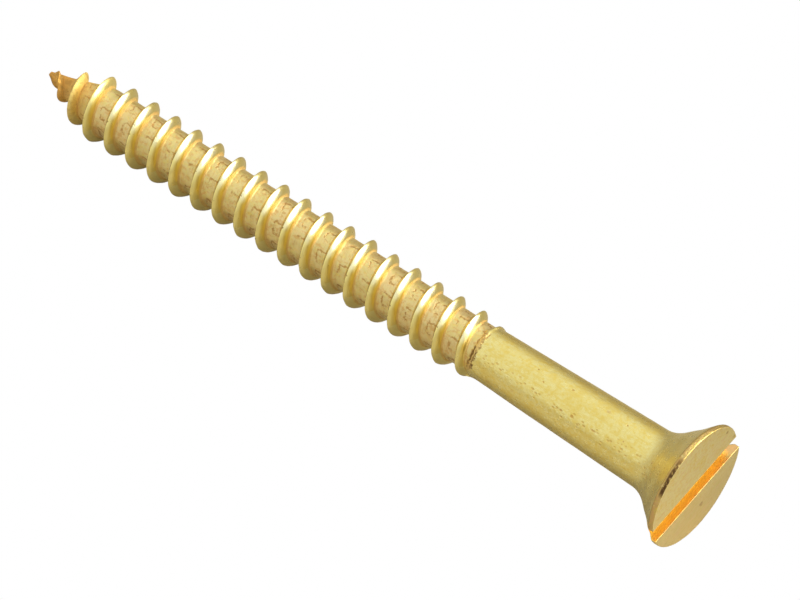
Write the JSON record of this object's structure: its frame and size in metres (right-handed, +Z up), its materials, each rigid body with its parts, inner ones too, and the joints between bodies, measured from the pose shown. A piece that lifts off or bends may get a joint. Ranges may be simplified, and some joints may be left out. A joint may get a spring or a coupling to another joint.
{
  "type": "wood screw",
  "caption": "Slotted countersunk brass wood screw with a tapered plain shank, a rolled right-hand coarse thread and a gimlet point.",
  "frame": {"origin": "centre of the head's flat face, on the screw's axis", "axes": "the screw lies on its side: +X along its axis and out of the head's flat face, the point towards -X, +Z up"},
  "size_m": [0.0498, 0.0082, 0.0082],
  "materials": {
    "brass": "bright drawn and rolled brass, unlacquered, lightly tarnished"
  },
  "bodies": {
    "root": {"slotted_head": "brass", "shank": "brass", "thread": "brass"}
  },
  "joints": []
}
